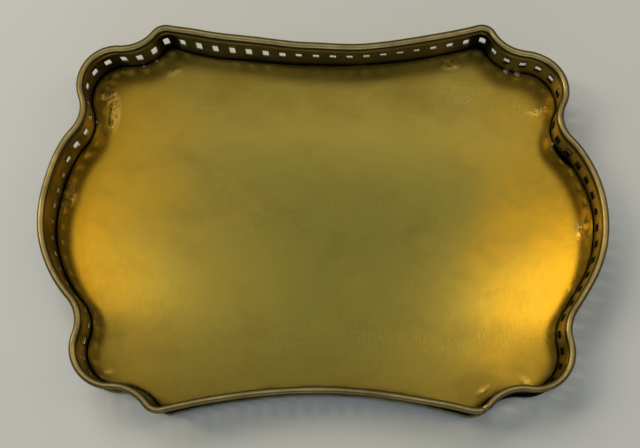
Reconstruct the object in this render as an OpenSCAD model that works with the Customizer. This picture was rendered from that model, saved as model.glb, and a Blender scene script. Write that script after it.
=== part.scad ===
// Serpentine brass vanity tray with a pierced gallery.
// A flat brass floor lies inside an upright pierced strip, which stands on a moulded foot
// and carries a half-round capping. Every piece follows one centre line, a closed chain of
// round knuckles joined by hollow bends. Millimetres, Z up, origin at the centre of the base.

/* [Tray] */
// Length over the capping
tray_length = 305; // [240:1:360]
// Height over the capping
tray_height = 25; // [22:0.5:30]

/* [Outline, at a length of 305] */
// Half the distance between the pointed corners, to their centres
corner_x = 84; // [80:0.5:88]
// Distance of the pointed corners' centres from the long axis
corner_y = 96; // [94:0.5:98]
// Bend radius of the pointed corners
corner_r = 8.5; // [7:0.5:10]
// Half the distance between the round lobes, to their centres
lobe_x = 111.5; // [109:0.5:114]
// Distance of the lobes' centres from the long axis
lobe_y = 71.5; // [70:0.5:73]
// Bend radius of the lobes
lobe_r = 20; // [18:0.5:21]
// Bend radius of the bulging ends
bulge_r = 68.5; // [65:0.5:72]
// Bend radius of the hollow long sides
side_r = 320; // [280:5:400]
// Bend radius of the hollow between a pointed corner and a lobe
cove_r = 23; // [20:0.5:26]
// Bend radius of the notch between a lobe and the bulging end
notch_r = 20; // [18:0.5:24]
// How much of the hand bending's unevenness to keep: 0 is a true symmetric outline
hand_bend = 1; // [0:0.25:1]

/* [Gallery strip] */
// Thickness of the strip
strip_t = 0.8; // [0.6:0.1:1]
// Width of each pierced window
window_w = 3.8; // [2.5:0.1:4.5]
// Height of each pierced window
window_h = 7.4; // [4:0.1:8.4]
// Height of the windows' sills above the base
window_z = 6.2; // [5:0.1:7]
// Spacing of the windows, made to fit a whole number between the corners
window_pitch = 9.1; // [7:0.1:12]

/* [Capping] */
// Width of the half-round bead
bead_w = 3.8; // [3:0.1:4.2]
// Thickness of the skirts that grip the strip
skirt_t = 0.5; // [0.4:0.1:0.7]
// Depth of the inner skirt below the bead
inner_skirt = 4.4; // [3:0.1:5.2]
// Depth of the outer skirt below the bead
outer_skirt = 1.4; // [1:0.1:2.5]

/* [Foot] */
// Reach of the foot beyond the centre line
foot_reach = 3.4; // [3:0.1:4.5]
// Reach of the foot beyond the strip where its pointed corners are cut off
foot_snip = 1.2; // [0.8:0.1:1.6]
// Height of the foot's moulded edge
foot_h = 2.2; // [2:0.1:3]
// Depth of each small step of the moulding
foot_step = 0.4; // [0.3:0.05:0.5]
// Thickness of the ledge that the strip and the floor stand on
ledge_t = 1; // [0.8:0.1:1.2]
// Reach of the ledge inside the centre line
ledge_reach = 5.5; // [5:0.1:6]

/* [Floor] */
// Thickness of the floor sheet
floor_t = 0.8; // [0.6:0.1:1.2]
// Gap between the floor's edge and the strip
floor_gap = 0.8; // [0.4:0.05:1]
// How much of each pointed corner is cut off the floor
corner_cut = 4; // [3:0.5:4.5]
// How far the floor's edge falls short of the strip beside the back right notch
short_edge = 1.9; // [0:0.1:2.2]

/* [Hidden] */

$fn = 96;
EPS = 0.01;
DESIGN_LENGTH = 305;    // the length and the bead that the outline's dimensions are given for
DESIGN_BEAD = 3.8;
CUT = 4;                // how far a cutter runs past the strip's thickness
SNIP = 30;              // size of the block that cuts a pointed corner off
CHORD = 0.04;           // largest distance between a curve and its flats
BEAD_FLATS = 8;         // flats round the half-round bead
SEAM_GAP = 0.3;         // opening between the two ends of the capping and of the strip
FIT = 0.07;             // solder is kept this clear of the curved strip
SHORT_R = 30;           // radius of the short stretch of the floor's edge
SHORT_AT = 8;           // its distance from the notch, along the centre line
SEAM_R = 1.3;           // radius of the run of solder in the joined corner
SEAM_CLEAR = 0.5;       // its distance from the floor and from the capping's skirt
TACK_R = 1.5;           // radius of a tack of solder
COVE_TACKS = [0.3, 0.65];   // places of the tacks along a cove and a notch, as shares of each
NOTCH_TACKS = [0.3];
BRASS = "#b08d3c";
DARK_BRASS = "#8a6d2f";
SOLDER = "#a89f86";

bead_r = bead_w / 2;
bead_z = tray_height - bead_r;          // flat underside of the bead, and top of the strip
floor_z = ledge_t + floor_t;            // top of the floor
design_width = DESIGN_LENGTH - DESIGN_BEAD;
scale_xy = (tray_length - bead_w) / design_width;

// The knuckles, anticlockwise from the right-hand bulge: centre, radius, and how far hand
// bending moved each one from its true place
bulge_x = design_width / 2 - bulge_r;
TRUE = [[bulge_x, 0, bulge_r], [lobe_x, lobe_y, lobe_r], [corner_x, corner_y, corner_r]];
BENT = [[0, -3], [-1, -1], [0.5, 0.5], [-0.5, 0], [-1.5, -0.5],
        [0, 0.5], [2, -1], [1, -0.5], [-2.5, 1], [0, -1]];
function mirrored(k, sx, sy) = [sx * k[0], sy * k[1], k[2]];
KNUCKLES = [TRUE[0], TRUE[1], TRUE[2], mirrored(TRUE[2], -1, 1), mirrored(TRUE[1], -1, 1),
            mirrored(TRUE[0], -1, 1), mirrored(TRUE[1], -1, -1), mirrored(TRUE[2], -1, -1),
            mirrored(TRUE[2], 1, -1), mirrored(TRUE[1], 1, -1)];
HOLLOWS = [notch_r, cove_r, side_r, cove_r, notch_r, notch_r, cove_r, side_r, cove_r, notch_r];
COUNT = len(KNUCKLES);
BACK_RIGHT = 2;         // places of the pointed corners in the list of knuckles
BACK_LEFT = 3;
FRONT_LEFT = 7;
FRONT_RIGHT = 8;        // the strip's and the capping's ends meet at this corner

function knuckle(i) =
    let (k = KNUCKLES[i % COUNT], b = hand_bend * BENT[i % COUNT])
    scale_xy * [k[0] + b[0], k[1] + b[1], k[2]];
function centre(i) = let (k = knuckle(i)) [k[0], k[1]];
function bearing(from, to) = atan2(to[1] - from[1], to[0] - from[0]);
function turn(from, to) = (to - from + 720) % 360;

// Centre of the hollow bend that touches knuckles i and i + 1 from outside
function hollow_centre(i) =
    let (a = centre(i), b = centre(i + 1), r = scale_xy * HOLLOWS[i % COUNT],
         ra = knuckle(i)[2] + r, rb = knuckle(i + 1)[2] + r,
         gap = norm(b - a), along = (ra * ra - rb * rb + gap * gap) / (2 * gap),
         side = sqrt(ra * ra - along * along), u = (b - a) / gap)
    a + along * u + side * [u[1], -u[0]];

// The centre line as arcs: [centre, radius, start angle, sweep], hollow ones with a
// negative sweep
function knuckle_arc(i) =
    let (c = centre(i), from = bearing(c, hollow_centre(i + COUNT - 1)),
         to = bearing(c, hollow_centre(i)))
    [c, knuckle(i)[2], from, turn(from, to)];
function hollow_arc(i) =
    let (c = hollow_centre(i), from = bearing(c, centre(i)), to = bearing(c, centre(i + 1)))
    [c, scale_xy * HOLLOWS[i], from, -turn(to, from)];
ARCS = [for (i = [0 : COUNT - 1]) each [knuckle_arc(i), hollow_arc(i)]];

// Distances along the centre line
function arc_length(a) = a[1] * abs(a[3]) * PI / 180;
function length_before(i) = i == 0 ? 0 : length_before(i - 1) + arc_length(ARCS[i - 1]);
PERIMETER = length_before(len(ARCS));
function corner_at(i) = length_before(2 * i) + arc_length(ARCS[2 * i]) / 2;

// [point, angle of the outward normal] at distance s along the centre line
function place_on(s, i = 0) =
    s > arc_length(ARCS[i]) ? place_on(s - arc_length(ARCS[i]), i + 1) :
    let (a = ARCS[i], t = a[2] + a[3] * s / arc_length(a))
    [a[0] + a[1] * [cos(t), sin(t)], a[3] > 0 ? t : t + 180];
function place(s) = place_on((s + PERIMETER) % PERIMETER);

// Points of the outline that lies `out` outside the centre line
function arc_points(a, out) =
    let (r = a[3] > 0 ? a[1] + out : a[1] - out,
         flats = ceil(abs(a[3]) / (2 * acos(1 - CHORD / r))))
    [for (k = [0 : flats - 1]) let (t = a[2] + a[3] * k / flats) a[0] + r * [cos(t), sin(t)]];
function outline(out) = [for (a = ARCS) each arc_points(a, out)];

// Puts its children at distance s along the centre line, X pointing outwards
module at(s) {
    p = place(s);
    translate([p[0][0], p[0][1], 0])
        rotate([0, 0, p[1]])
            children();
}

// Rings of the centre line, each [point, angle of the outward normal], over the share
// u to v of one arc, without the last one
function arc_rings(a, u, v) =
    let (flats = ceil((v - u) * abs(a[3]) / (2 * acos(1 - CHORD / a[1]))))
    [for (k = [0 : flats - 1])
        let (t = a[2] + a[3] * (u + (v - u) * k / flats))
        [a[0] + a[1] * [cos(t), sin(t)], a[3] > 0 ? t : t + 180]];

// The whole centre line from one end of the seam round to the other
SEAM_ARC = 2 * FRONT_RIGHT;
seam_share = SEAM_GAP / 2 / arc_length(ARCS[SEAM_ARC]);
RINGS = [
    each arc_rings(ARCS[SEAM_ARC], 0.5 + seam_share, 1),
    for (k = [1 : len(ARCS) - 1]) each arc_rings(ARCS[(SEAM_ARC + k) % len(ARCS)], 0, 1),
    each arc_rings(ARCS[SEAM_ARC], 0, 0.5 - seam_share),
    place(corner_at(FRONT_RIGHT) - SEAM_GAP / 2)
];

// Sweeps a closed profile along the rings: its points are [outwards, up], anticlockwise
module sweep(profile) {
    n = len(profile);
    last = len(RINGS) - 1;
    polyhedron(
        points = [for (ring = RINGS, p = profile)
            [ring[0][0] + p[0] * cos(ring[1]), ring[0][1] + p[0] * sin(ring[1]), p[1]]],
        faces = [
            [for (k = [0 : n - 1]) k],
            [for (k = [n - 1 : -1 : 0]) last * n + k],
            for (i = [0 : last - 1], k = [0 : n - 1])
                [i * n + k, (i + 1) * n + k, (i + 1) * n + (k + 1) % n, i * n + (k + 1) % n]
        ]
    );
}

// A thin cutter that opens the seam at the front right corner
module seam_slit() {
    at(corner_at(FRONT_RIGHT))
        translate([-CUT, -SEAM_GAP / 2, -EPS])
            cube([2 * CUT, SEAM_GAP, tray_height]);
}

// Blocks that cut each pointed corner off square, `beyond` outside the centre line
module corner_blocks(beyond) {
    for (i = [BACK_RIGHT, BACK_LEFT, FRONT_LEFT, FRONT_RIGHT])
        at(corner_at(i))
            translate([beyond, -SNIP / 2, -EPS])
                cube([SNIP, SNIP, tray_height]);
}

// Windows along the centre line from corner i to corner j, leaving out the first one where
// the strip is joined
module windows_between(i, j) {
    from = corner_at(i);
    span = (corner_at(j) - from + PERIMETER) % PERIMETER;
    count = round(span / window_pitch);
    first = i == FRONT_RIGHT ? 1 : 0;
    for (k = [first : count - 1])
        at(from + span * k / count)
            translate([-CUT / 2, -window_w / 2, window_z])
                cube([CUT, window_w, window_h]);
}

module floor_plate() {
    edge = strip_t / 2 + floor_gap;
    color(BRASS)
        difference() {
            translate([0, 0, ledge_t])
                linear_extrude(floor_t)
                    polygon(outline(-edge));
            corner_blocks(-edge - corner_cut);
            // the sheet was cut short beside the back right notch
            at(length_before(1) - SHORT_AT)
                translate([SHORT_R - edge - short_edge, 0, 0])
                    cylinder(r = SHORT_R, h = tray_height);
        }
}

// A flat ring between two outlines, `low` to `high` above the base
module layer(outer, inner, low, high) {
    translate([0, 0, low])
        linear_extrude(high - low)
            difference() {
                polygon(outline(outer));
                polygon(outline(inner));
            }
}

// Ledge under the strip and the floor, and the stepped moulding outside the strip
module foot_moulding() {
    face = strip_t / 2;
    color(DARK_BRASS) {
        layer(face, -ledge_reach, 0, ledge_t);
        difference() {
            union() {
                layer(foot_reach - foot_step, face - EPS, 0, foot_h);
                layer(foot_reach, face - EPS, foot_step, foot_h - foot_step);
                layer(foot_reach / 2, face - EPS, 0, foot_h + foot_step);
            }
            corner_blocks(face + foot_snip);
        }
    }
}

module gallery_strip() {
    color(DARK_BRASS)
        difference() {
            layer(strip_t / 2, -strip_t / 2, ledge_t, bead_z);
            windows_between(BACK_RIGHT, BACK_LEFT);
            windows_between(BACK_LEFT, FRONT_LEFT);
            windows_between(FRONT_LEFT, FRONT_RIGHT);
            windows_between(FRONT_RIGHT, BACK_RIGHT);
            seam_slit();
        }
}

// Profile of the capping, from the foot of its inner skirt: skirt with a square edge,
// half-round bead, outer skirt, and back along the top of the strip
module rim_capping() {
    edge = skirt_t / 2;
    face = strip_t / 2;
    foot_z = bead_z - inner_skirt;
    profile = [
        [face, bead_z], [face, bead_z - outer_skirt], [face + skirt_t, bead_z - outer_skirt],
        [face + skirt_t, bead_z],
        for (t = [0 : 180 / BEAD_FLATS : 180]) [bead_r * cos(t), bead_z + bead_r * sin(t)],
        [-face - skirt_t, bead_z], [-face - skirt_t, foot_z + 2 * edge],
        [-face - skirt_t - edge, foot_z + 2 * edge], [-face - skirt_t - edge, foot_z],
        [-face, foot_z], [-face, bead_z]
    ];
    color(BRASS)
        sweep(profile);
}

// A run of solder up the inside of the joined corner
module seam_solder() {
    arc = ARCS[2 * FRONT_RIGHT];
    height = bead_z - inner_skirt - floor_z - 2 * SEAM_CLEAR;
    color(SOLDER)
        translate([0, 0, floor_z + SEAM_CLEAR])
            intersection() {
                at(corner_at(FRONT_RIGHT))
                    translate([-strip_t / 2, 0, 0])
                        cylinder(r = SEAM_R, h = height);
                translate([arc[0][0], arc[0][1], 0])
                    cylinder(r = arc[1] - strip_t / 2 - FIT / 2, h = height);
            }
}

// A tack of solder on the floor, against the strip, at a share of hollow bend i
module tack(i, share) {
    face = strip_t / 2 + FIT;
    at(length_before(2 * i + 1) + share * arc_length(ARCS[2 * i + 1]))
        intersection() {
            translate([-face, 0, floor_z])
                sphere(r = TACK_R);
            translate([-face - 2 * TACK_R, -TACK_R, floor_z])
                cube([2 * TACK_R, 2 * TACK_R, TACK_R]);
        }
}

// Tacks of solder that hold the floor to the strip, in each cove and each notch
module floor_solder() {
    color(SOLDER)
        for (i = [0 : COUNT - 1]) {
            tacks = HOLLOWS[i] == cove_r ? COVE_TACKS : HOLLOWS[i] == notch_r ? NOTCH_TACKS : [];
            for (share = tacks)
                tack(i, share);
        }
}

floor_plate();
foot_moulding();
gallery_strip();
rim_capping();
seam_solder();
floor_solder();
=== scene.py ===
"""Looks of the brass gallery tray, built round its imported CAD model. Metres, Z up, +X along the tray."""
import math

import bpy
from mathutils import Matrix, Vector, geometry, kdtree, noise


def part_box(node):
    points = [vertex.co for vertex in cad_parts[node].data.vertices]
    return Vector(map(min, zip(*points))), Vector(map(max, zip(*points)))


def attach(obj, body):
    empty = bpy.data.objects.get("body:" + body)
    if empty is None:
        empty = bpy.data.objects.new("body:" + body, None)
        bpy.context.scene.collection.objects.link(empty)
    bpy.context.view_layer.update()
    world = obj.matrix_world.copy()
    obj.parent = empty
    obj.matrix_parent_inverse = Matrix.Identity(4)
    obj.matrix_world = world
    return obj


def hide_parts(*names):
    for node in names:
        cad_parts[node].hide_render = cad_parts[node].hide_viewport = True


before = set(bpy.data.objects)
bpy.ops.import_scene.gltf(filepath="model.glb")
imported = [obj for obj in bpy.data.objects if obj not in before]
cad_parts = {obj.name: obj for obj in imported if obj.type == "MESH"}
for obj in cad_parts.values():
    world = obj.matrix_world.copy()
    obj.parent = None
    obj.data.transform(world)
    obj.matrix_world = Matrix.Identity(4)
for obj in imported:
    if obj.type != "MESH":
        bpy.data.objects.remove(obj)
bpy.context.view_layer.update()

MM = 0.001

# ---------------------------------------------------------------- the outline
# Knuckles of the centre line, anticlockwise from the right-hand bulge: x, y, bend radius, in mm. The
# bulges and lobes are the CAD model's; the four pointed corners differ from its own by up to 3.5 mm.
# A scratch program fitted them to the photograph, and they were rounded to half a millimetre.
KNUCKLES = [
    (82.1, -3.0, 68.5), (110.5, 70.5, 20.0), (85.5, 98.5, 6.5), (-88.0, 96.0, 7.0), (-113.0, 71.0, 20.0),
    (-82.1, 0.5, 68.5), (-109.5, -72.5, 20.0), (-83.5, -96.5, 8.0), (81.0, -93.0, 10.5), (111.5, -72.5, 20.0),
]
NOTCH, COVE, SIDE = 20.0, 23.0, 320.0
HOLLOWS = [NOTCH, COVE, SIDE, COVE, NOTCH, NOTCH, COVE, SIDE, COVE, NOTCH]
BACK_RIGHT, BACK_LEFT, FRONT_LEFT, FRONT_RIGHT = 2, 3, 7, 8

# Levels and thicknesses come from the frame
STRIP_LO, STRIP_HI = (corner.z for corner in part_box("gallery_strip"))
FLOOR_LO, FLOOR_HI = (corner.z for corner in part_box("floor_plate"))
RIM_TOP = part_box("rim_capping")[1].z
SKIRT_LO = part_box("rim_capping")[0].z
BEAD_R = RIM_TOP - STRIP_HI
FOOT_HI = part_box("foot_moulding")[1].z
FOOT_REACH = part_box("foot_moulding")[1].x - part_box("gallery_strip")[1].x
HALF_STRIP = 0.4 * MM
WINDOW_W, WINDOW_H, WINDOW_LO = 3.8 * MM, 7.4 * MM, 6.2 * MM
WINDOWS = {BACK_RIGHT: 19, BACK_LEFT: 30, FRONT_LEFT: 19, FRONT_RIGHT: 30}  # from each corner to the next
FLOOR_INSET = HALF_STRIP + 0.55 * MM

# How far the wall stands outside that line: distance along the centre line from the front of the
# right-hand bulge, then how far at the rim and how far at the foot, in mm. A scratch program measured
# this against the photograph, and it was rounded to half a millimetre and then corrected by hand.
LEAN = [
    (10, -0.5, -1.0), (40, 0.0, 0.5), (65, 0.0, 1.5), (90, 0.0, 1.0), (110, -0.5, 0.5), (125, 0.5, 1.0),
    (150, -0.5, 0.0), (165, 0.5, 0.0), (190, 0.5, 0.5), (220, 1.0, 0.5), (255, 0.5, 1.0), (285, 2.0, 1.5),
    (315, 3.0, 1.5), (345, 2.0, -0.5), (370, 0.0, 0.0), (400, 0.0, 1.0), (435, 0.0, 1.0), (455, 0.5, 0.5),
    (485, -1.0, -1.0), (520, 0.0, 0.0), (540, 0.0, 0.5), (575, 0.0, 0.0), (670, 0.5, -0.5), (735, 0.0, -1.0),
    (775, 0.5, -0.5), (800, 0.0, 0.0), (830, -1.0, 0.0), (870, 0.0, -1.5), (895, 0.5, 0.0),
]


class Arc:
    """One bend of the centre line; a hollow one has a negative sweep."""

    def __init__(self, centre, radius, start, sweep):
        self.centre, self.radius, self.start, self.sweep = centre, radius, start, sweep
        self.length = radius * abs(sweep)

    def at(self, share):
        """Point and outward normal at a share of the arc."""
        angle = self.start + self.sweep * share
        out = Vector((math.cos(angle), math.sin(angle)))
        return self.centre + out * self.radius, out if self.sweep > 0 else -out


def bearing(a, b):
    return math.atan2(b.y - a.y, b.x - a.x)


def hollow_centre(i):
    """Centre of the hollow bend that touches knuckles i and i + 1 from outside."""
    xa, ya, ra = KNUCKLES[i]
    xb, yb, rb = KNUCKLES[(i + 1) % len(KNUCKLES)]
    a, b, hollow = Vector((xa, ya)) * MM, Vector((xb, yb)) * MM, HOLLOWS[i] * MM
    da, db, gap = ra * MM + hollow, rb * MM + hollow, (b - a).length
    along = (da * da - db * db + gap * gap) / (2 * gap)
    u = (b - a) / gap
    return a + u * along + Vector((u.y, -u.x)) * math.sqrt(da * da - along * along)


def make_arcs():
    arcs = []
    full = 2 * math.pi
    for i, (x, y, r) in enumerate(KNUCKLES):
        centre = Vector((x, y)) * MM
        start = bearing(centre, hollow_centre(i - 1 if i else len(KNUCKLES) - 1))
        end = bearing(centre, hollow_centre(i))
        arcs.append(Arc(centre, r * MM, start, (end - start) % full))
        hollow = hollow_centre(i)
        xn, yn, _ = KNUCKLES[(i + 1) % len(KNUCKLES)]
        start = bearing(hollow, centre)
        end = bearing(hollow, Vector((xn, yn)) * MM)
        arcs.append(Arc(hollow, HOLLOWS[i] * MM, start, -((start - end) % full)))
    return arcs


ARCS = make_arcs()
STARTS = [sum(a.length for a in ARCS[:i]) for i in range(len(ARCS) + 1)]
PERIMETER = STARTS[-1]


def corner_at(i):
    """Distance along the centre line of the middle of knuckle i."""
    return STARTS[2 * i] + ARCS[2 * i].length / 2


def place(s):
    """Point of the centre line and outward normal at distance s along it."""
    s %= PERIMETER
    i = max(k for k in range(len(ARCS)) if STARTS[k] <= s)
    return ARCS[i].at((s - STARTS[i]) / ARCS[i].length)


SEAM = corner_at(FRONT_RIGHT)


def lean(s, z):
    """How far outside its true line the wall stands at distance s and height z."""
    s %= PERIMETER
    after = next((k for k, row in enumerate(LEAN) if row[0] * MM > s), 0)
    a, b = LEAN[after - 1], LEAN[after]
    t = (s - a[0] * MM) % PERIMETER / ((b[0] - a[0]) * MM % PERIMETER)
    t = t * t * (3 - 2 * t)
    top, foot = (a[k] + (b[k] - a[k]) * t for k in (1, 2))
    return (foot + (top - foot) * z / RIM_TOP) * MM


def on_wall(s, off, z):
    """Point at distance s, `off` outside the centre line of the wall as it was bent, and its normal."""
    point, out = place(s)
    q = point + out * (off + lean(s, z))
    return Vector((q.x, q.y, z)), out


def wander(s, size, seed, wave=60 * MM):
    """Smooth hand-made unevenness along the centre line, at most about `size` either way."""
    turn = 2 * math.pi * s / PERIMETER
    r = PERIMETER / (2 * math.pi * wave)
    return size * noise.noise(Vector((r * math.cos(turn), r * math.sin(turn), seed)))


# ---------------------------------------------------------------- mesh helpers
def new_mesh(name, verts, faces, uvs=None, smooth=True):
    mesh = bpy.data.meshes.new(name)
    mesh.from_pydata(verts, [], faces)
    if uvs:
        layer = mesh.uv_layers.new(name="along")
        for loop in mesh.loops:
            layer.data[loop.index].uv = uvs[loop.vertex_index]
    for poly in mesh.polygons:
        poly.use_smooth = smooth
    mesh.update()
    obj = bpy.data.objects.new(name, mesh)
    bpy.context.scene.collection.objects.link(obj)
    return obj


def bevel(obj, width, segments=2, angle=math.radians(40)):
    mod = obj.modifiers.new("bevel", "BEVEL")
    mod.width, mod.segments, mod.limit_method, mod.angle_limit = width, segments, "ANGLE", angle
    mod.harden_normals = False
    mod.use_clamp_overlap = True


def sweep(name, profile, distances, closed, shift, shrink=None):
    """Runs a closed profile, points (outwards, up), along the centre line. shift(s) moves it sideways and
    up, and shrink(s) draws it in towards its own middle."""
    n = len(profile)
    mid = Vector((sum(p[0] for p in profile) / n, sum(p[1] for p in profile) / n))
    girth = [0.0]
    for k in range(n):
        girth.append(girth[-1] + math.dist(profile[k], profile[(k + 1) % n]))
    verts, uvs, faces = [], [], []
    for s in distances:
        point, out = place(s)
        side, up = shift(s)
        keep = shrink(s) if shrink else 1.0
        for k, p in enumerate(profile):
            z = mid.y + (p[1] - mid.y) * keep + up
            x = mid.x + (p[0] - mid.x) * keep + side + lean(s, z)
            verts.append((point.x + out.x * x, point.y + out.y * x, z))
            uvs.append((s, girth[k]))
    rings = len(distances)
    for i in range(rings if closed else rings - 1):
        a, b = i * n, (i + 1) % rings * n
        for k in range(n):
            m = (k + 1) % n
            faces.append((a + k, b + k, b + m, a + m))
    if not closed:
        faces.append(tuple(range(n)))
        faces.append(tuple((rings - 1) * n + k for k in reversed(range(n))))
    return new_mesh(name, verts, faces, uvs)


def steps(start, end, size):
    count = max(2, math.ceil((end - start) / size))
    return [start + (end - start) * k / count for k in range(count + 1)]


# ---------------------------------------------------------------- node helpers
class Nodes:
    """Short names for the shader nodes that the materials share."""

    def __init__(self, name):
        self.material = bpy.data.materials.new(name)
        self.material.use_nodes = True
        self.tree = self.material.node_tree
        self.shader = self.tree.nodes["Principled BSDF"]
        self.coords = self.add("ShaderNodeTexCoord").outputs["Object"]

    def add(self, kind, **settings):
        node = self.tree.nodes.new(kind)
        for key, value in settings.items():
            setattr(node, key, value)
        return node

    def feed(self, socket, value):
        if isinstance(value, bpy.types.NodeSocket):
            self.tree.links.new(value, socket)
        else:
            socket.default_value = value

    def uv(self):
        return self.add("ShaderNodeUVMap", uv_map="along").outputs["UV"]

    def stretch(self, vector, scale, turn=0.0, move=(0, 0, 0)):
        """Coordinates turned about Z, then scaled, then moved."""
        if turn:
            turned = self.add("ShaderNodeMapping")
            self.feed(turned.inputs["Vector"], vector)
            turned.inputs["Rotation"].default_value = (0, 0, turn)
            vector = turned.outputs["Vector"]
        node = self.add("ShaderNodeMapping")
        self.feed(node.inputs["Vector"], vector)
        node.inputs["Scale"].default_value = scale
        node.inputs["Location"].default_value = move
        return node.outputs["Vector"]

    def noise(self, vector, scale, detail=3.0, rough=0.5, warp=0.0):
        node = self.add("ShaderNodeTexNoise")
        self.feed(node.inputs["Vector"], vector)
        node.inputs["Scale"].default_value = scale
        node.inputs["Detail"].default_value = detail
        node.inputs["Roughness"].default_value = rough
        node.inputs["Distortion"].default_value = warp
        return node.outputs["Fac"]

    def ramp(self, value, low, high, to_low=0.0, to_high=1.0):
        node = self.add("ShaderNodeMapRange", clamp=True)
        self.feed(node.inputs["Value"], value)
        for key, number in (("From Min", low), ("From Max", high), ("To Min", to_low), ("To Max", to_high)):
            node.inputs[key].default_value = number
        return node.outputs["Result"]

    def math(self, operation, a, b=0.0):
        node = self.add("ShaderNodeMath", operation=operation)
        self.feed(node.inputs[0], a)
        self.feed(node.inputs[1], b)
        return node.outputs[0]

    def mix(self, share, a, b):
        node = self.add("ShaderNodeMix", data_type="RGBA")
        self.feed(node.inputs["Factor"], share)
        self.feed(node.inputs[6], a)
        self.feed(node.inputs[7], b)
        return node.outputs[2]

    def attribute(self, name):
        return self.add("ShaderNodeAttribute", attribute_name=name).outputs["Fac"]

    def bump(self, height, strength, distance, normal=None):
        node = self.add("ShaderNodeBump")
        self.feed(node.inputs["Height"], height)
        node.inputs["Strength"].default_value = strength
        node.inputs["Distance"].default_value = distance
        if normal is not None:
            self.feed(node.inputs["Normal"], normal)
        return node.outputs["Normal"]


def rgb(r, g, b):
    return (r, g, b, 1.0)


BRIGHT = rgb(0.90, 0.51, 0.03)
OLIVE = rgb(0.56, 0.43, 0.075)
# Tarnish colour, also used for painted shade towards the floor's front and back edges.
TARNISH_AND_SHADE = rgb(0.42, 0.29, 0.05)
# Painted shade along the foot of the wall.
PAINTED_SHADE_BROWN = rgb(0.16, 0.12, 0.035)


# ---------------------------------------------------------------- materials
SWIRLS = [(77, 78, 2.4), (106, 65, 1.2)]       # ring scratches left by polishing: x and y in mm, strength


def floor_material():
    """Brushed sheet brass, olive in the middle and tarnished in cloudy patches; painted reflection turns it a
    brighter gold towards both ends, painted shade darkens it towards the front and back edges and along the
    foot of the wall, and painted glints brighten its knocks.
    """
    n = Nodes("floor_brass")
    fine_up = n.noise(n.stretch(n.coords, (2600, 120, 1)), 1.0, 2.0)
    fine_across = n.noise(n.stretch(n.coords, (140, 2300, 1)), 1.0, 2.0)
    broad = n.noise(n.coords, 16.0, 4.0, 0.55, 0.6)
    cloud = n.noise(n.stretch(n.coords, (30, 44, 1)), 1.0, 6.0, 0.62, 0.4)
    edge = n.attribute("edge")
    place_xyz = n.add("ShaderNodeSeparateXYZ")
    n.feed(place_xyz.inputs[0], n.coords)
    from_middle = n.math("ABSOLUTE", place_xyz.outputs["X"])
    from_axis = n.math("ABSOLUTE", place_xyz.outputs["Y"])
    # Painted reflection: the brass turns a brighter gold towards both ends, where the side lights' golden
    # glow falls in the sheet.
    ends = n.ramp(from_middle, 62 * MM, 135 * MM, -0.1, 0.9)
    ends = n.math("ADD", ends, n.ramp(broad, 0.3, 0.7, -0.25, 0.25))
    # Painted shade: a darker tarnish colour towards the front and back edges, in cloudy patches; the same
    # mask makes them rougher.
    side_shade = n.math("MULTIPLY", n.ramp(from_axis, 50 * MM, 98 * MM), n.ramp(cloud, 0.3, 0.65, 0.35, 0.95))
    tone = n.mix(ends, OLIVE, BRIGHT)
    tone = n.mix(side_shade, tone, TARNISH_AND_SHADE)
    tone = n.mix(n.ramp(cloud, 0.50, 0.74, 0.0, 0.5), tone, TARNISH_AND_SHADE)
    tone = n.mix(n.ramp(fine_up, 0.3, 0.7, 0.0, 0.05), tone, rgb(0.95, 0.74, 0.22))
    tone = n.mix(n.ramp(fine_across, 0.3, 0.7, 0.0, 0.12), tone, rgb(0.38, 0.28, 0.05))
    # Painted shade: dark brown in patches within 3.2 mm of the sheet's edge, along the foot of the wall.
    painted_shade = n.math("MULTIPLY", edge, n.ramp(n.noise(n.coords, 70.0, 5.0, 0.65), 0.38, 0.62, 0.15, 1.0))
    tone = n.mix(painted_shade, tone, PAINTED_SHADE_BROWN)
    scratch = scratches(n)
    tone = n.mix(n.math("MULTIPLY", scratch, 0.25), tone, rgb(0.92, 0.78, 0.36))
    # Painted glints: inside the knocks the brass turns a bright orange gold in patches.
    knocked = n.ramp(n.attribute("knock"), 0.1, 0.4)
    painted_glint_and_sheen = n.math("MULTIPLY", knocked, n.ramp(n.noise(n.coords, 260.0, 3.0, 0.6), 0.40, 0.58))
    tone = n.mix(painted_glint_and_sheen, tone, rgb(1.0, 0.68, 0.16))
    n.feed(n.shader.inputs["Base Color"], tone)
    n.shader.inputs["Metallic"].default_value = 1.0
    rough = n.ramp(broad, 0.3, 0.7, 0.19, 0.235)
    rough = n.math("ADD", rough, n.ramp(fine_up, 0.25, 0.75, -0.03, 0.04))
    rough = n.math("ADD", rough, n.math("MULTIPLY", painted_shade, 0.25))
    rough = n.math("ADD", rough, n.math("MULTIPLY", side_shade, 0.24))
    rough = n.math("SUBTRACT", rough, n.ramp(n.attribute("knock"), 0.15, 0.8, 0.0, 0.08))
    n.feed(n.shader.inputs["Roughness"], rough)
    height = n.math("ADD", n.math("MULTIPLY", fine_up, 0.5), n.math("MULTIPLY", fine_across, 0.5))
    height = n.math("SUBTRACT", height, n.math("MULTIPLY", scratch, 0.8))
    normal = n.bump(height, 0.22, 0.02 * MM)
    normal = n.bump(n.noise(n.coords, 130.0, 3.0), 0.22, 0.10 * MM, normal)
    crumple = n.math("MULTIPLY", knocked, n.noise(n.coords, 420.0, 2.0, 0.5))
    normal = n.bump(crumple, 1.0, 0.28 * MM, normal)
    n.feed(n.shader.inputs["Normal"], normal)
    return n.material


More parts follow.
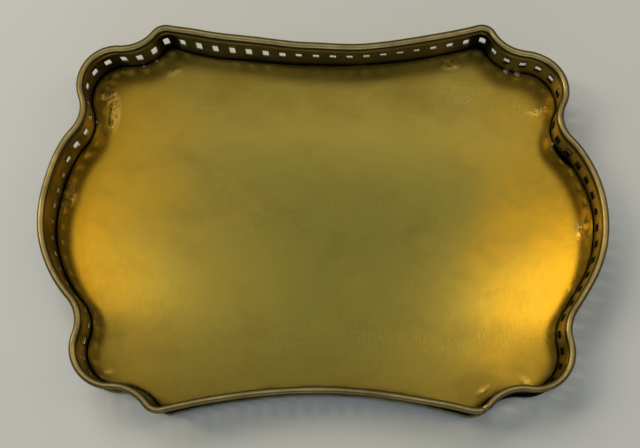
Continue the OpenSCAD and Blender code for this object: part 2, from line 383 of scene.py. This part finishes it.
def scratches(n):
    """Sparse hairline scratches in three directions, and rings where SWIRLS says."""
    total = None
    for turn, seed in ((0.35, 3.1), (1.25, 7.7), (2.45, 1.9)):
        lines = n.noise(n.stretch(n.coords, (1500, 110, 1), turn, (seed, seed, 0)), 1.0, 1.0)
        line = n.ramp(lines, 0.74, 0.79)
        total = line if total is None else n.math("MAXIMUM", total, line)
    broken = n.ramp(n.noise(n.stretch(n.coords, (220, 90, 1)), 1.0, 2.0), 0.45, 0.6)
    for x, y, strength in SWIRLS:
        centred = n.stretch(n.coords, (1, 1, 0), 0.0, (-x * MM, -y * MM, 0))
        length = n.add("ShaderNodeVectorMath", operation="LENGTH")
        n.feed(length.inputs[0], centred)
        radius = length.outputs["Value"]
        rings = n.math("SINE", n.math("MULTIPLY", radius, 2 * math.pi / (2.1 * MM)))
        rings = n.math("MULTIPLY", n.ramp(rings, 0.85, 1.0), n.ramp(radius, 7.5 * MM, 9.0 * MM, 1.0, 0.0))
        rings = n.math("MULTIPLY", rings, n.ramp(radius, 3.0 * MM, 4.0 * MM))
        total = n.math("MAXIMUM", total, n.math("MULTIPLY", rings, n.math("MULTIPLY", broken, strength)))
    return total


def strip_material():
    """Tarnished gallery brass: dark olive bronze with handling marks along it, painted shade low down, in the
    corners and round the right-hand windows, and a painted paler sheen on the right-hand wall.
    """
    n = Nodes("gallery_brass")
    uv = n.uv()
    streak = n.noise(n.stretch(uv, (40, 900, 1)), 1.0, 3.0)
    blotch = n.noise(n.coords, 70.0, 5.0, 0.6, 0.5)
    tone = n.mix(n.ramp(blotch, 0.35, 0.7), rgb(0.32, 0.27, 0.13), rgb(0.15, 0.125, 0.06))
    tone = n.mix(n.ramp(streak, 0.45, 0.75, 0.0, 0.3), tone, rgb(0.46, 0.39, 0.20))
    # Painted sheen: paler along the right-hand wall.
    tone = n.mix(n.math("MULTIPLY", n.attribute("painted_glint_and_sheen"), 0.55), tone, rgb(0.68, 0.57, 0.30))
    # Painted shade: near black where the strip is shaded.
    tone = n.mix(n.attribute("painted_shade"), tone, rgb(0.012, 0.010, 0.006))
    n.feed(n.shader.inputs["Base Color"], tone)
    n.shader.inputs["Metallic"].default_value = 1.0
    rough = n.math("ADD", n.ramp(blotch, 0.3, 0.7, 0.28, 0.44), n.ramp(streak, 0.3, 0.7, -0.04, 0.05))
    n.feed(n.shader.inputs["Roughness"], rough)
    normal = n.bump(streak, 0.2, 0.02 * MM)
    normal = n.bump(n.noise(n.coords, 260.0, 4.0), 0.35, 0.12 * MM, normal)
    n.feed(n.shader.inputs["Normal"], normal)
    return n.material


def foot_material():
    """Tarnished foot, streaked a little paler along the moulding, with painted shade nearly black inside
    round the floor and on top along the right-hand side.
    """
    n = Nodes("foot_brass")
    uv = n.uv()
    streak = n.noise(n.stretch(uv, (40, 1200, 1)), 1.0, 3.0)
    blotch = n.noise(n.coords, 80.0, 5.0, 0.6, 0.5)
    tone = n.mix(n.ramp(blotch, 0.35, 0.65), rgb(0.25, 0.20, 0.085), rgb(0.12, 0.095, 0.04))
    tone = n.mix(n.ramp(streak, 0.5, 0.8, 0.0, 0.3), tone, rgb(0.34, 0.28, 0.13))
    # Painted shade: near black inside round the floor and on top along the right-hand side.
    tone = n.mix(n.attribute("ledge"), tone, rgb(0.012, 0.010, 0.006))
    n.feed(n.shader.inputs["Base Color"], tone)
    n.shader.inputs["Metallic"].default_value = 1.0
    n.feed(n.shader.inputs["Roughness"], n.ramp(blotch, 0.3, 0.7, 0.34, 0.5))
    n.feed(n.shader.inputs["Normal"], n.bump(n.noise(n.coords, 300.0, 4.0), 0.3, 0.1 * MM))
    return n.material


def rim_material():
    """Capping: pale on the ridge, nearly black in the hollows and down its outer flank, partly from use and
    partly as painted highlight and painted shade.
    """
    n = Nodes("rim_brass")
    uv = n.uv()
    streak = n.noise(n.stretch(uv, (30, 2200, 1)), 1.0, 3.0)
    blotch = n.noise(n.coords, 60.0, 5.0, 0.62, 0.4)
    # Painted highlight and painted shade, partly from use: pale on the ridge and lip, near black in the
    # hollows and down the outer flank.
    wear_and_painted_light = n.math("MULTIPLY", n.attribute("wear_and_painted_light"), n.ramp(blotch, 0.25, 0.7, 1.0, 0.6))
    tone = n.mix(n.ramp(wear_and_painted_light, 0.0, 0.45), rgb(0.035, 0.027, 0.010), rgb(0.27, 0.20, 0.065))
    tone = n.mix(n.ramp(wear_and_painted_light, 0.45, 1.0), tone, rgb(0.80, 0.62, 0.27))
    tone = n.mix(n.ramp(streak, 0.5, 0.8, 0.0, 0.25), tone, rgb(0.66, 0.53, 0.24))
    n.feed(n.shader.inputs["Base Color"], tone)
    n.shader.inputs["Metallic"].default_value = 1.0
    rough = n.math("ADD", n.ramp(blotch, 0.3, 0.7, 0.36, 0.46), n.ramp(streak, 0.3, 0.7, -0.03, 0.04))
    n.feed(n.shader.inputs["Roughness"], rough)
    normal = n.bump(streak, 0.15, 0.02 * MM)
    normal = n.bump(n.noise(n.coords, 320.0, 4.0), 0.25, 0.08 * MM, normal)
    n.feed(n.shader.inputs["Normal"], normal)
    return n.material


def solder_material():
    """Frozen solder, grey where it was wiped at the back, with painted shade blackening it towards the front.
    """
    n = Nodes("solder")
    grain = n.noise(n.coords, 900.0, 4.0)
    tone = n.mix(grain, rgb(0.26, 0.22, 0.13), rgb(0.66, 0.60, 0.42))
    place_xyz = n.add("ShaderNodeSeparateXYZ")
    n.feed(place_xyz.inputs[0], n.coords)
    # Painted shade: blackened towards the front.
    tone = n.mix(n.ramp(place_xyz.outputs["Y"], -60 * MM, -20 * MM, 0.85, 0.0), tone, rgb(0.06, 0.05, 0.025))
    n.feed(n.shader.inputs["Base Color"], tone)
    n.shader.inputs["Metallic"].default_value = 0.9
    n.feed(n.shader.inputs["Roughness"], n.ramp(grain, 0.3, 0.7, 0.32, 0.52))
    n.feed(n.shader.inputs["Normal"], n.bump(grain, 0.5, 0.1 * MM))
    return n.material


# ---------------------------------------------------------------- pieces
def capping_profile():
    """Half-round bead with an inner skirt that ends in a small square edge, and a short outer skirt."""
    face, skirt, edge = HALF_STRIP, 0.5 * MM, 0.25 * MM
    outer_lo = STRIP_HI - 1.4 * MM
    points = [(face, STRIP_HI), (face, outer_lo), (face + skirt, outer_lo)]
    points += [(face + skirt, STRIP_HI - 0.3 * MM)]
    lip = BEAD_R - 0.12 * MM
    points += [(lip, STRIP_HI - 0.05 * MM)]
    for k in range(25):
        t = math.pi * k / 24
        points.append((BEAD_R * math.cos(t), STRIP_HI + 0.12 * MM + (BEAD_R - 0.12 * MM) * math.sin(t)))
    points += [(-lip, STRIP_HI - 0.05 * MM), (-face - skirt, STRIP_HI - 0.3 * MM)]
    points += [(-face - skirt, SKIRT_LO + 3 * edge), (-face - skirt - 0.6 * edge, SKIRT_LO + 2.2 * edge)]
    points += [(-face - skirt - edge, SKIRT_LO + 1.6 * edge), (-face - skirt - edge, SKIRT_LO + 0.3 * edge)]
    points += [(-face - skirt - 0.7 * edge, SKIRT_LO), (-face, SKIRT_LO), (-face, STRIP_HI)]
    return points


def ramp(value, low, high):
    """0 at `low`, 1 at `high`, smooth between them."""
    t = min(1.0, max(0.0, (value - low) / (high - low)))
    return t * t * (3 - 2 * t)


def rim_wear_and_painted_light(x, z):
    """How bright a point of the capping's profile is painted: partly from use, partly painted highlight on
    the ridge and lip and painted shade down the flanks.
    """
    if z >= STRIP_HI:
        angle = math.degrees(math.atan2(z - STRIP_HI, x))
        flank, ridge = ramp(angle, 22, 56), ramp(angle, 62, 96)
        return (0.45 * flank + 0.55 * ridge) * ramp(angle, 162, 134)
    if x < -HALF_STRIP and z < SKIRT_LO + 0.9 * MM:
        return 0.5
    return 0.22 if x < -HALF_STRIP and z < STRIP_HI - 1.0 * MM else 0.0


def make_capping():
    """One length of capping; its far end, from the long side, laps over its near end at the corner."""
    lap = 1.2 * MM
    near = steps(SEAM + 0.1 * MM, SEAM + 5 * MM, 0.15 * MM)
    far = steps(SEAM + PERIMETER - 4 * MM, SEAM + PERIMETER + lap, 0.15 * MM)
    middle = steps(SEAM + 5 * MM, SEAM + PERIMETER - 4 * MM, 0.7 * MM)
    distances = near[:-1] + middle + far[1:]

    def shrink(s):
        """The two ends are dressed round, the one from the long side more."""
        start, end = s - SEAM, SEAM + PERIMETER + lap - s
        if start < end:
            return 0.82 + 0.18 * ramp(start, 0.0, 3.5 * MM)
        t = min(1.0, end / (1.6 * MM))
        return (0.35 + 0.65 * math.sqrt(1 - (1 - t) ** 2)) * (1 + 0.08 * ramp(end, 5 * MM, 1.6 * MM))

    def shift(s):
        start, end = s - SEAM, SEAM + PERIMETER - s
        side, up = wander(s, 0.12 * MM, 1.0), wander(s, 0.10 * MM, 5.0) - 0.03 * MM
        if start < end:
            tucked = 1 - ramp(start, 0.0, 4 * MM)
            return side - 0.3 * MM * tucked, up - 0.7 * MM * tucked
        return side + 0.3 * MM * (1 - ramp(end, 0.0, 4 * MM)), up

    profile = capping_profile()
    obj = sweep("capping", profile, distances, False, shift, shrink)
    # Painted highlight and painted shade across the profile, partly from use.
    wear_and_painted_light = obj.data.attributes.new("wear_and_painted_light", "FLOAT", "POINT")
    for i in range(len(obj.data.vertices)):
        wear_and_painted_light.data[i].value = rim_wear_and_painted_light(*profile[i % len(profile)])
    bevel(obj, 0.06 * MM, 1)
    return obj


# How much of its full height each stretch of windows is open to: distance along the centre line in mm,
# share of the height, and 1 where the upper part is open or 0 where the lower part is
PIERCED = [
    (25, 0.6, 0), (80, 0.6, 0), (120, 0.7, 0), (150, 0.6, 1), (180, 0.6, 1), (192, 1.0, 1), (206, 0.6, 1),
    (225, 0.4, 1), (290, 0.5, 1), (315, 0.85, 1), (345, 0.9, 1), (368, 1.0, 1), (400, 0.8, 1), (440, 0.6, 1),
    (458, 0.75, 1), (472, 0.4, 0), (500, 0.35, 0), (560, 0.4, 0), (600, 0.9, 0), (830, 1.0, 0), (860, 0.6, 0),
]

# Stretches of the wall painted black with shade inside: middle and half length in mm, and how black
SHADED_STRETCHES = [
    (187, 10, 1.0), (367, 10, 1.0), (639, 10, 1.0), (811, 10, 1.0), (413, 26, 0.8), (859, 26, 0.8),
    (515, 72, 0.65),
]
RIGHT_WALL = 40 * MM        # middle of the right-hand wall, which has a painted paler sheen and painted black shade round its windows


def pierced(s):
    """Height of the window at distance s as a share of the full height, and how high up it is open."""
    s %= PERIMETER
    after = next((k for k, row in enumerate(PIERCED) if row[0] * MM > s), 0)
    a, b = PIERCED[after - 1], PIERCED[after]
    t = (s - a[0] * MM) % PERIMETER / ((b[0] - a[0]) * MM % PERIMETER)
    return a[1] + (b[1] - a[1]) * t, a[2] + (b[2] - a[2]) * t


def apart(s, other):
    """The shorter way along the centre line between two distances along it."""
    return abs((s - other + PERIMETER / 2) % PERIMETER - PERIMETER / 2)


def window_spans():
    """Stretches of the centre line between window centres, one for each window."""
    spans = []
    corners = [BACK_RIGHT, BACK_LEFT, FRONT_LEFT, FRONT_RIGHT]
    for i, j in zip(corners, corners[1:] + corners[:1]):
        start = corner_at(i)
        span = (corner_at(j) - start) % PERIMETER
        count = WINDOWS[i]
        spans += [(start + span * k / count, span / count) for k in range(count)]
    return spans


def rounded(u, v, half_w, half_h, r):
    """Pulls a point on a rectangle's edge in to the rectangle's rounded corner."""
    cx, cy = half_w - r, half_h - r
    if abs(u) > cx and abs(v) > cy:
        away = Vector((abs(u) - cx, abs(v) - cy))
        away = away.normalized() * r if away.length > 0 else away
        return math.copysign(cx + away.x, u), math.copysign(cy + away.y, v)
    return u, v


def make_strip():
    """The pierced strip as a grid of cells, one for each window, bent to the centre line."""
    verts, uvs, faces, cache, kinds = [], [], [], {}, []
    spans = sorted(window_spans())
    cols_in = [-1.0, -0.72, -0.3, 0.3, 0.72, 1.0]
    rows_in = [-1.0, -0.8, -0.35, 0.35, 0.8, 1.0]

    def vertex(key, s, z, outside, reveal):
        if key not in cache:
            off = (HALF_STRIP if outside else -HALF_STRIP) + wander(s, 0.12 * MM, 9.0)
            cache[key] = len(verts)
            verts.append(on_wall(s, off, z)[0])
            uvs.append((s, z))
            kinds.append((outside, reveal))
        return cache[key]

    for index, (centre, pitch) in enumerate(spans):
        seam_cell = abs(centre - SEAM) < 1e-6
        roll = [noise.noise(Vector((index * 1.7, k * 3.1, 2.0))) for k in range(4)]
        half_w = WINDOW_W / 2 * (0.95 + 0.14 * roll[0])
        share, upper = pierced(centre)
        half_h = WINDOW_H / 2 * share * (1 + 0.10 * roll[1])
        mid_s = centre + 0.25 * MM * roll[2]
        mid_z = WINDOW_LO + WINDOW_H * (share / 2 + (1 - share) * upper) + 0.22 * MM * roll[3]
        side = 4
        cell_lo, cell_hi = centre - pitch / 2, centre + pitch / 2
        open_lo, open_hi = mid_s - half_w, mid_s + half_w
        cols = [cell_lo + (open_lo - cell_lo) * k / side for k in range(side)]
        cols += [mid_s + half_w * c for c in cols_in]
        cols += [open_hi + (cell_hi - open_hi) * k / side for k in range(1, side + 1)]
        rows = [STRIP_LO + (mid_z - half_h - STRIP_LO) * k / 3 for k in range(3)]
        rows += [mid_z + half_h * r for r in rows_in]
        rows += [mid_z + half_h + (STRIP_HI - mid_z - half_h) * k / 3 for k in range(1, 4)]
        first_c, last_c = side, side + len(cols_in) - 1
        first_r, last_r = 3, 3 + len(rows_in) - 1

        def corner(c, r, outside):
            s, z = cols[c], rows[r]
            reveal = not seam_cell and first_c <= c <= last_c and first_r <= r <= last_r
            if reveal:
                u, v = rounded(s - mid_s, z - mid_z, half_w, half_h, 0.55 * MM)
                s, z = mid_s + u, mid_z + v
            edge = c in (0, len(cols) - 1)
            where = round(cols[c] % PERIMETER / (0.001 * MM)) if edge else c
            return vertex((index if not edge else "edge", where, r, outside), s, z, outside, reveal)

        def is_open(c, r):
            if seam_cell:
                return False
            return first_c <= c < last_c and first_r <= r < last_r

        if seam_cell:
            rows = [STRIP_LO + (STRIP_HI - STRIP_LO) * k / (len(rows) - 1) for k in range(len(rows))]
        for c in range(len(cols) - 1):
            for r in range(len(rows) - 1):
                if is_open(c, r):
                    for dc, dr, a, b in ((-1, 0, (c, r), (c, r + 1)), (1, 0, (c + 1, r + 1), (c + 1, r)),
                                         (0, -1, (c + 1, r), (c, r)), (0, 1, (c, r + 1), (c + 1, r + 1))):
                        if not is_open(c + dc, r + dr):
                            edge = ((*a, True), (*b, True), (*b, False), (*a, False))
                            faces.append(tuple(corner(*q) for q in edge))
                    continue
                quad = [(c, r), (c + 1, r), (c + 1, r + 1), (c, r + 1)]
                faces.append(tuple(corner(*q, True) for q in quad))
                faces.append(tuple(corner(*q, False) for q in reversed(quad)))
            for r, flip in ((0, False), (len(rows) - 1, True)):
                edge = ((c, r, True), (c, r, False), (c + 1, r, False), (c + 1, r, True))
                quad = tuple(corner(*q) for q in edge)
                faces.append(quad[::-1] if flip else quad)
    obj = new_mesh("strip", verts, faces, uvs)
    painted_shade = obj.data.attributes.new("painted_shade", "FLOAT", "POINT")
    painted_glint_and_sheen = obj.data.attributes.new("painted_glint_and_sheen", "FLOAT", "POINT")
    for i, (s, z) in enumerate(uvs):
        # Painted shade: darker towards the foot of the strip, black in the corners and the other stretches
        # listed above, and black round the windows of the right-hand wall; a fifth as dark on the outer face.
        value = 0.45 * ramp(z, WINDOW_LO + 2.5 * MM, STRIP_LO + 2 * MM)
        for middle, reach, most in SHADED_STRETCHES:
            away = apart(s, middle * MM)
            value = max(value, most * ramp(away, reach * MM, 0.5 * reach * MM))
        from_right = apart(s, RIGHT_WALL)
        outside, reveal = kinds[i]
        if reveal and from_right < 130 * MM:
            value = 1.0
        elif outside:
            value *= 0.2
        painted_shade.data[i].value = value
        # Painted sheen: paler within about 150 mm of the right-hand wall's middle.
        painted_glint_and_sheen.data[i].value = ramp(from_right, 150 * MM, 105 * MM)
    bevel(obj, 0.09 * MM, 2, math.radians(50))
    return obj


# Knocked places in the sheet, crumpled, with painted glints on them: x, y, half length and half width in mm,
# the turn in degrees, and how badly it was knocked, as a share of the worst
KNOCKS = [
    (121, 67, 9, 3, 10, 0.5), (70, 95, 7, 4, -10, 0.6), (113, -88, 10, 3, -40, 0.4),
    (144, -1, 7, 4, 90, 0.5), (-146, 15, 8, 6, 80, 1.0), (-124, 74, 6, 4, 90, 0.9),
    (-120, 62, 10, 3, 85, 0.8), (-132, 52, 7, 3, 60, 0.7), (-126, -60, 8, 3, 110, 0.4),
    (-118, -86, 6, 3, 30, 0.4), (139, -38, 8, 3, 100, 0.4), (-88, 88, 7, 3, 20, 0.4),
    (88, -92, 6, 2, 40, 0.5),
]


def floor_height(x, y):
    """Slight unevenness of the sheet, in broad waves."""
    lump = noise.noise(Vector((x * 9, y * 11, 3.0))) + 0.4 * noise.noise(Vector((x * 26, y * 30, 8.0)))
    return 0.10 * MM * lump


def knock(x, y):
    """How badly the sheet was knocked at a point, as a share of the worst."""
    total = 0.0
    for kx, ky, long, wide, turn, badly in KNOCKS:
        dx, dy, t = x / MM - kx, y / MM - ky, math.radians(turn)
        u, v = (dx * math.cos(t) + dy * math.sin(t)) / long, (dy * math.cos(t) - dx * math.sin(t)) / wide
        if u * u + v * v < 5:
            total += badly * math.exp(-1.5 * (u * u + v * v))
    return total


def floor_edge():
    """The sheet's outline: inset from the strip, its pointed corners cut off, one stretch filed short."""
    short, short_r, short_at = 1.9 * MM, 24.0 * MM, 3.0 * MM
    limits = []
    for i, cut in ((BACK_RIGHT, 8.5), (BACK_LEFT, 6.5), (FRONT_LEFT, 8.0), (FRONT_RIGHT, 7.0)):
        point, out = on_wall(corner_at(i), 0.0, FLOOR_HI)
        limits.append((out, out.dot(point.xy) - FLOOR_INSET - cut * MM))
    point, out = on_wall(STARTS[1] - short_at, 0.0, FLOOR_HI)
    hub = point.xy + out * (short_r - FLOOR_INSET - short)
    edge = []
    for s in steps(0.0, PERIMETER, 0.8 * MM)[:-1]:
        q = on_wall(s, -FLOOR_INSET - wander(s, 0.15 * MM, 21.0, 25 * MM), FLOOR_HI)[0].xy
        for direction, most in limits:
            if (q - direction * most).length < 16 * MM and q.dot(direction) > most:
                q = q - direction * (q.dot(direction) - most)
        if (q - hub).length < short_r:
            q = hub + (q - hub).normalized() * short_r
        edge.append(q)
    return edge


def make_floor():
    edge = floor_edge()
    spaced = [edge[0]]
    for q in edge[1:]:
        if (q - spaced[-1]).length > 0.3 * MM:
            spaced.append(q)
    count = len(spaced)
    pitch = 1.6 * MM
    border = kdtree.KDTree(count)
    for k, q in enumerate(spaced):
        border.insert((q.x, q.y, 0), k)
    border.balance()
    points = list(spaced)
    nx, ny = int(160 * MM / pitch), int(110 * MM / pitch)
    for i in range(-nx, nx + 1):
        for j in range(-ny, ny + 1):
            x, y = i * pitch + (j % 2) * pitch / 2, j * pitch
            if border.find((x, y, 0))[2] > 0.8 * MM:
                points.append(Vector((x, y)))
    borders = [(k, (k + 1) % count) for k in range(count)]
    verts, _, faces, *_ = geometry.delaunay_2d_cdt(points, borders, [], 1, 1e-7)
    used = sorted({i for face in faces for i in face})
    place_of = {old: new for new, old in enumerate(used)}
    verts = [verts[i] for i in used]
    faces = [tuple(place_of[i] for i in face) for face in faces]
    obj = new_mesh("floor", [(v.x, v.y, FLOOR_HI + floor_height(v.x, v.y)) for v in verts], faces)
    attribute = obj.data.attributes.new("edge", "FLOAT", "POINT")
    knocks = obj.data.attributes.new("knock", "FLOAT", "POINT")
    for i, v in enumerate(verts):
        gap = border.find((v.x, v.y, 0))[2]
        # Nearness to the edge, which places the painted shade along the foot of the wall.
        attribute.data[i].value = max(0.0, 1 - gap / (3.2 * MM)) ** 1.4
        knocks.data[i].value = knock(v.x, v.y)
    solid = obj.modifiers.new("thickness", "SOLIDIFY")
    solid.thickness, solid.offset = FLOOR_HI - FLOOR_LO, -1.0
    bevel(obj, 0.12 * MM, 2, math.radians(60))
    return obj


LEDGE_REACH = 5.5 * MM


def foot_profile():
    """Ledge under the strip and the floor, with a round edge and a small fillet outside the strip."""
    face = HALF_STRIP
    reach = FOOT_REACH + HALF_STRIP
    height = FOOT_HI
    points = [(-LEDGE_REACH, 0.0), (reach - 0.7 * MM, 0.0)]
    half = height * 0.42
    for k in range(13):
        t = -math.pi / 2 + math.pi * k / 12
        points.append((reach - half + half * math.cos(t), half + half * math.sin(t)))
    points += [(reach - half - 0.5 * MM, 2 * half), (reach - half - 0.5 * MM, 2 * half + 0.15 * MM)]
    points += [(face + 1.1 * MM, height - 0.25 * MM), (face + 0.7 * MM, height), (face + 0.03 * MM, height)]
    points += [(face + 0.03 * MM, STRIP_LO), (-LEDGE_REACH, STRIP_LO)]
    return points


def make_foot():
    """The swept moulding, with painted shade black on top near the strip, its four pointed corners cut off
    square.
    """
    distances = steps(0.0, PERIMETER, 0.9 * MM)[:-1]
    profile = foot_profile()
    obj = sweep("foot", profile, distances, True, lambda s: (0.0, 0.0))
    ledge = obj.data.attributes.new("ledge", "FLOAT", "POINT")
    for i in range(len(obj.data.vertices)):
        x, z = profile[i % len(profile)]
        # Painted shade: black inside round the floor, and on top near the strip along the right-hand side.
        inner = x <= HALF_STRIP + 1.5 * MM and z > 0.1 * MM
        top = x <= HALF_STRIP + 3.2 * MM and z > 0.6 * FOOT_HI and obj.data.vertices[i].co.x > 98 * MM
        ledge.data[i].value = 1.0 if inner or top else 0.0
    for i, past in ((BACK_RIGHT, 1.2), (BACK_LEFT, 1.2), (FRONT_LEFT, 2.2), (FRONT_RIGHT, 3.2)):
        point, out = on_wall(corner_at(i), HALF_STRIP + past * MM, 0.0)
        for vertex in obj.data.vertices:
            beyond = (vertex.co - point).xy.dot(out)
            if beyond > 0 and (vertex.co - point).length < 12 * MM:
                vertex.co.x -= out.x * beyond
                vertex.co.y -= out.y * beyond
    bevel(obj, 0.07 * MM, 1)
    return obj


def blob(name, spots):
    """Frozen drops of solder: low lumpy domes at (point, half sizes, turn)."""
    verts, faces = [], []
    rows, cols = 9, 18
    for number, (at, size, turn) in enumerate(spots):
        base = len(verts)
        spin = Matrix.Rotation(turn, 3, "Z")
        for r in range(rows + 1):
            lift = math.pi / 2 * r / rows
            for c in range(cols):
                t = 2 * math.pi * c / cols
                ray = Vector((math.cos(t) * math.cos(lift), math.sin(t) * math.cos(lift), math.sin(lift)))
                lump = 1 + 0.28 * noise.noise(ray * 1.6 + Vector((number * 5.3, 0, 0)))
                local = Vector((ray.x * size[0], ray.y * size[1], ray.z * size[2])) * lump
                verts.append(tuple(at + spin @ local))
        for r in range(rows):
            for c in range(cols):
                d = (c + 1) % cols
                a, b = base + r * cols, base + (r + 1) * cols
                faces.append((a + c, a + d, b + d, b + c))
        faces.append(tuple(base + rows * cols + c for c in range(cols)))
        faces.append(tuple(base + c for c in reversed(range(cols))))
    return new_mesh(name, verts, faces)


def make_floor_solder():
    spots = []
    for i, hollow in enumerate(HOLLOWS):
        shares = {COVE: (0.3, 0.65), NOTCH: (0.3,), SIDE: ()}[hollow] if i != 1 else (0.05, 0.32)
        for share in shares:
            s = STARTS[2 * i + 1] + share * ARCS[2 * i + 1].length
            at, out = on_wall(s, -HALF_STRIP - 0.75 * MM, FLOOR_HI)
            big = 1.7 if i == 1 else 0.8
            long = 1.2 + 0.5 * noise.noise(Vector((i, share, 0)))
            size = (0.9 * MM * big, long * MM * big, 0.55 * MM * big)
            spots.append((Vector((at.x, at.y, FLOOR_HI - 0.05 * MM)), size, math.atan2(out.y, out.x)))
    return blob("floor_tacks", spots)


def make_seam_solder():
    """A run of solder up the inside of the joined corner, as a chain of overlapping drops in one skin."""
    out = place(SEAM)[1]
    low, high = FLOOR_HI + 0.5 * MM, SKIRT_LO - 0.5 * MM
    verts, faces, cols = [], [], 16
    levels = steps(low, high, 0.35 * MM)
    side = Vector((-out.y, out.x))
    for z in levels:
        end = min(z - low, high - z) / (1.2 * MM)
        keep = math.sqrt(max(0.0, 1 - max(0.0, 1 - end) ** 2))
        for c in range(cols):
            t = 2 * math.pi * c / cols
            lump = 1 + 0.25 * noise.noise(Vector((math.cos(t), math.sin(t), z * 600)))
            depth = -HALF_STRIP - (0.5 + 0.5 * math.cos(t)) * 1.0 * MM * keep * lump
            wall = on_wall(SEAM, depth, z)[0].xy
            q = wall + side * math.sin(t) * 1.05 * MM * (0.3 + 0.7 * keep) * lump
            verts.append((q.x, q.y, z))
    for r in range(len(levels) - 1):
        for c in range(cols):
            d = (c + 1) % cols
            faces.append((r * cols + c, r * cols + d, (r + 1) * cols + d, (r + 1) * cols + c))
    faces.append(tuple(reversed(range(cols))))
    faces.append(tuple((len(levels) - 1) * cols + c for c in range(cols)))
    return new_mesh("seam_run", verts, faces)


PIECES = [
    (make_floor, "floor_plate", floor_material, "floor_brass"),
    (make_foot, "foot_moulding", foot_material, "gallery_brass"),
    (make_strip, "gallery_strip", strip_material, "gallery_brass"),
    (make_capping, "rim_capping", rim_material, "rim_brass"),
    (make_seam_solder, "seam_solder", solder_material, "solder"),
    (make_floor_solder, "floor_solder", solder_material, "solder"),
]
finishes = {}
for make, node, finish, slot in PIECES:
    piece = make()
    if finish not in finishes:
        finishes[finish] = finish()
    piece.data.materials.append(finishes[finish])
    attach(piece, "root")
    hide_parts(node)


# ---------------------------------------------------------------- floor, light and camera
def stage_floor():
    size = 4.0
    floor = new_mesh("stage", [(-size, -size, 0), (size, -size, 0), (size, size, 0), (-size, size, 0)],
                     [(0, 1, 2, 3)], smooth=False)
    n = Nodes("pale_floor")
    n.shader.inputs["Base Color"].default_value = rgb(0.745, 0.758, 0.758)
    n.shader.inputs["Roughness"].default_value = 0.9
    n.shader.inputs["Specular IOR Level"].default_value = 0.2
    floor.data.materials.append(n.material)


def area_light(name, at, target, size, power, colour, mirrored=True):
    """A soft rectangular light; one that isn't `mirrored` leaves no highlight in the brass."""
    data = bpy.data.lights.new(name, "AREA")
    data.shape, data.size, data.size_y = "RECTANGLE", size[0], size[1]
    data.energy, data.color = power, colour
    light = bpy.data.objects.new(name, data)
    light.location = at
    light.rotation_mode = "QUATERNION"
    light.rotation_quaternion = (Vector(target) - Vector(at)).to_track_quat("-Z", "Y")
    light.visible_glossy = mirrored
    bpy.context.scene.collection.objects.link(light)


def lights():
    world = bpy.data.worlds.new("studio")
    world.use_nodes = True
    background = world.node_tree.nodes["Background"]
    background.inputs["Color"].default_value = rgb(0.62, 0.80, 1.0)
    background.inputs["Strength"].default_value = 0.14
    bpy.context.scene.world = world
    gold, cool, cream = (1.0, 0.78, 0.28), (0.80, 0.90, 1.0), (1.0, 0.87, 0.58)
    area_light("key", (-0.8, 1.25, 1.35), (0, 0, 0), (1.5, 1.0), 17, (1.0, 0.94, 0.84), False)
    area_light("right", (0.52, 0.19, 1.2), (0.08, 0, 0), (0.16, 0.50), 0.52, gold)
    area_light("right_low", (0.38, -0.10, 1.2), (0.08, 0, 0), (0.15, 0.32), 0.17, gold)
    area_light("right_wide", (0.47, 0.26, 1.22), (0.08, 0, 0), (0.17, 0.66), 0.08, gold)
    area_light("left", (-0.55, 0.20, 1.2), (-0.08, 0, 0), (0.16, 0.42), 0.18, gold)
    area_light("left_wide", (-0.44, 0.32, 1.22), (-0.05, 0, 0), (0.26, 0.72), 0.12, gold)
    area_light("middle", (-0.03, 0.22, 1.25), (0, 0, 0), (1.0, 0.8), 0.48, (0.90, 0.95, 1.0))
    area_light("top_back", (0.05, 0.66, 1.25), (0, 0, 0), (1.1, 0.34), 0.50, (1.0, 0.86, 0.60))
    area_light("front", (0.1, -1.6, 0.65), (0, 0, 0), (2.4, 0.7), 5.5, cool)
    area_light("left_lamp", (-1.1, 0.35, 1.0), (0, 0, 0), (0.22, 0.6), 4.6, cream)
    area_light("right_lamp", (1.1, 0.35, 1.0), (0, 0, 0), (0.16, 0.5), 1.1, cream)


def camera():
    """Nearly straight above the near half of the tray; the tray fills the frame above its middle."""
    data = bpy.data.cameras.new("camera")
    data.lens, data.sensor_width = 44.0, 36.0
    data.shift_x, data.shift_y = -0.048, 0.16
    data.clip_start = 0.01
    cam = bpy.data.objects.new("camera", data)
    cam.location = (15.6 * MM, -108.6 * MM, 429.8 * MM)
    tilt, roll = math.radians(6.8), math.radians(0.68)
    cam.rotation_mode = "QUATERNION"
    cam.rotation_quaternion = (Matrix.Rotation(tilt, 3, "X") @ Matrix.Rotation(roll, 3, "Z")).to_quaternion()
    bpy.context.scene.collection.objects.link(cam)
    bpy.context.scene.camera = cam


stage_floor()
lights()
camera()
bpy.context.scene.view_settings.view_transform = "Standard"
